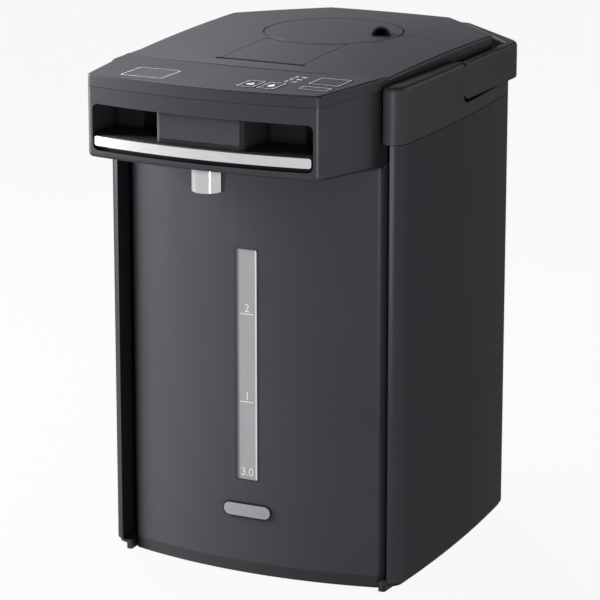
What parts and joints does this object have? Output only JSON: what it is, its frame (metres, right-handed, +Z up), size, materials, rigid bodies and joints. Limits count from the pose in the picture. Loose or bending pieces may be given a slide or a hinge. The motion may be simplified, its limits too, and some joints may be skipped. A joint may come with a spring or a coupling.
{
  "type": "electric thermo pot",
  "caption": "Upright electric thermo pot: overhanging head with spout nozzle, control panel, hinged lid with lever and steam cap, water gauge and folding carrying handle.",
  "frame": {"origin": "on the table plane, under the axis of the water vessel and the centre of the rubber foot ring", "axes": "+X to the pot's right, -Y to its front where the spout is, +Z up"},
  "size_m": [0.2066, 0.301, 0.3389],
  "materials": {
    "shell": "satin moulded plastic",
    "front": "satin coated steel sheet",
    "side": "satin coated shell",
    "dark": "dark moulded plastic",
    "bar": "brushed",
    "chrome": "polished",
    "steel": "plain steel sheet",
    "rubber": "soft rubber",
    "silicone": "silicone",
    "clear": "clear plastic",
    "pale": "pale moulded plastic",
    "board": "circuit board",
    "inner": "moulded inner part",
    "foam": "foam",
    "badge": "satin",
    "brass": "plated contact",
    "heater": "cast plate"
  },
  "bodies": {
    "pot": {"base_cover": "dark", "foot_ring": "rubber", "side_panel_left": "side", "side_panel_right": "side", "rear_panel": "side", "front_frame": "dark", "front_panel": "front", "gauge_lens": "clear", "gauge_channel": "pale", "gauge_tube": "clear", "badge_plate": "badge", "inner_vessel": "steel", "outer_vessel": "steel", "neck_packing": "silicone", "top_frame": "shell", "hinge_pins": "steel", "head_housing": "front", "recess_liner": "dark", "spout_cover": "dark", "trim_bar": "bar", "nozzle_sleeve": "chrome", "nozzle_tube": "dark", "spout_pipe": "silicone", "spill_valve": "inner", "spill_valve_ball": "steel", "control_panel": "shell", "display_lens": "dark", "indicator_lenses": "pale", "control_board": "board", "handle_pins": "steel", "suction_sleeve": "silicone", "outlet_elbow": "silicone", "heater_plate": "heater", "heater_cover": "steel", "thermistor": "inner", "thermostats": "heater", "vessel_support": "steel", "power_board": "board", "inlet_housing": "dark", "inlet_contacts": "brass", "pump_housing": "inner", "pump_motor": "steel"},
    "lid": {"lid_cover": "shell", "lid_case": "inner", "lid_insulation": "foam", "inner_lid_plate": "steel", "lid_packing": "silicone", "steam_tube": "inner"},
    "steam_cap_set": {"steam_cap": "shell", "steam_cap_base": "inner", "steam_seal": "silicone"},
    "handle_body": {"handle": "shell"},
    "lid_lever_body": {"lid_lever": "shell"},
    "latch_slide_body": {"latch_slide": "inner"},
    "unlock_key_body": {"unlock_key": "shell"},
    "dispense_key_body": {"dispense_key": "shell"},
    "warm_key_body": {"warm_key": "shell"},
    "boil_key_body": {"boil_key": "shell"},
    "pump_impeller_body": {"pump_impeller": "inner"},
    "drive_magnet_body": {"drive_magnet": "steel"}
  },
  "joints": [
    {"name": "handle_swing", "type": "hinge", "parent": "pot", "child": "handle_body", "pos_m": [0, -0.0035, 0.316], "axis": [1, 0, 0], "range_deg": [0, 90]},
    {"name": "lid_hinge", "type": "hinge", "parent": "pot", "child": "lid", "pos_m": [0, 0.094, 0.3252], "axis": [-1, 0, 0], "range_deg": [0, 80]},
    {"name": "lid_lever_lift", "type": "hinge", "parent": "lid", "child": "lid_lever_body", "pos_m": [0, -0.034, 0.33], "axis": [-1, 0, 0], "range_deg": [0, 18], "stiffness_Nm_per_rad": 0.05, "springref_deg": -11.46},
    {"name": "latch_draw", "type": "slide", "parent": "lid", "child": "latch_slide_body", "axis": [0, 1, 0], "range_m": [0, 0.003]},
    {"name": "steam_cap_lift", "type": "slide", "parent": "lid", "child": "steam_cap_set", "axis": [0, 0, 1], "range_m": [0, 0.025]},
    {"name": "unlock_key_press", "type": "slide", "parent": "pot", "child": "unlock_key_body", "axis": [0, 0, -1], "range_m": [0, 0.0004], "stiffness_N_per_m": 1500, "springref_m": -0.0004},
    {"name": "dispense_key_press", "type": "slide", "parent": "pot", "child": "dispense_key_body", "axis": [0, 0, -1], "range_m": [0, 0.0004], "stiffness_N_per_m": 1500, "springref_m": -0.0004},
    {"name": "warm_key_press", "type": "slide", "parent": "pot", "child": "warm_key_body", "axis": [0, 0, -1], "range_m": [0, 0.0004], "stiffness_N_per_m": 1500, "springref_m": -0.0004},
    {"name": "boil_key_press", "type": "slide", "parent": "pot", "child": "boil_key_body", "axis": [0, 0, -1], "range_m": [0, 0.0004], "stiffness_N_per_m": 1500, "springref_m": -0.0004},
    {"name": "impeller_spin", "type": "hinge", "parent": "pot", "child": "pump_impeller_body", "pos_m": [0, -0.048, 0.034], "axis": [0, 0, 1], "continuous": true},
    {"name": "magnet_spin", "type": "hinge", "parent": "pot", "child": "drive_magnet_body", "pos_m": [0, -0.048, 0.024], "axis": [0, 0, 1], "continuous": true}
  ],
  "couplings": [
    {"joint": "latch_draw", "follows": "lid_lever_lift", "m_per_rad": 0.009549},
    {"joint": "impeller_spin", "follows": "magnet_spin", "ratio": 1}
  ]
}
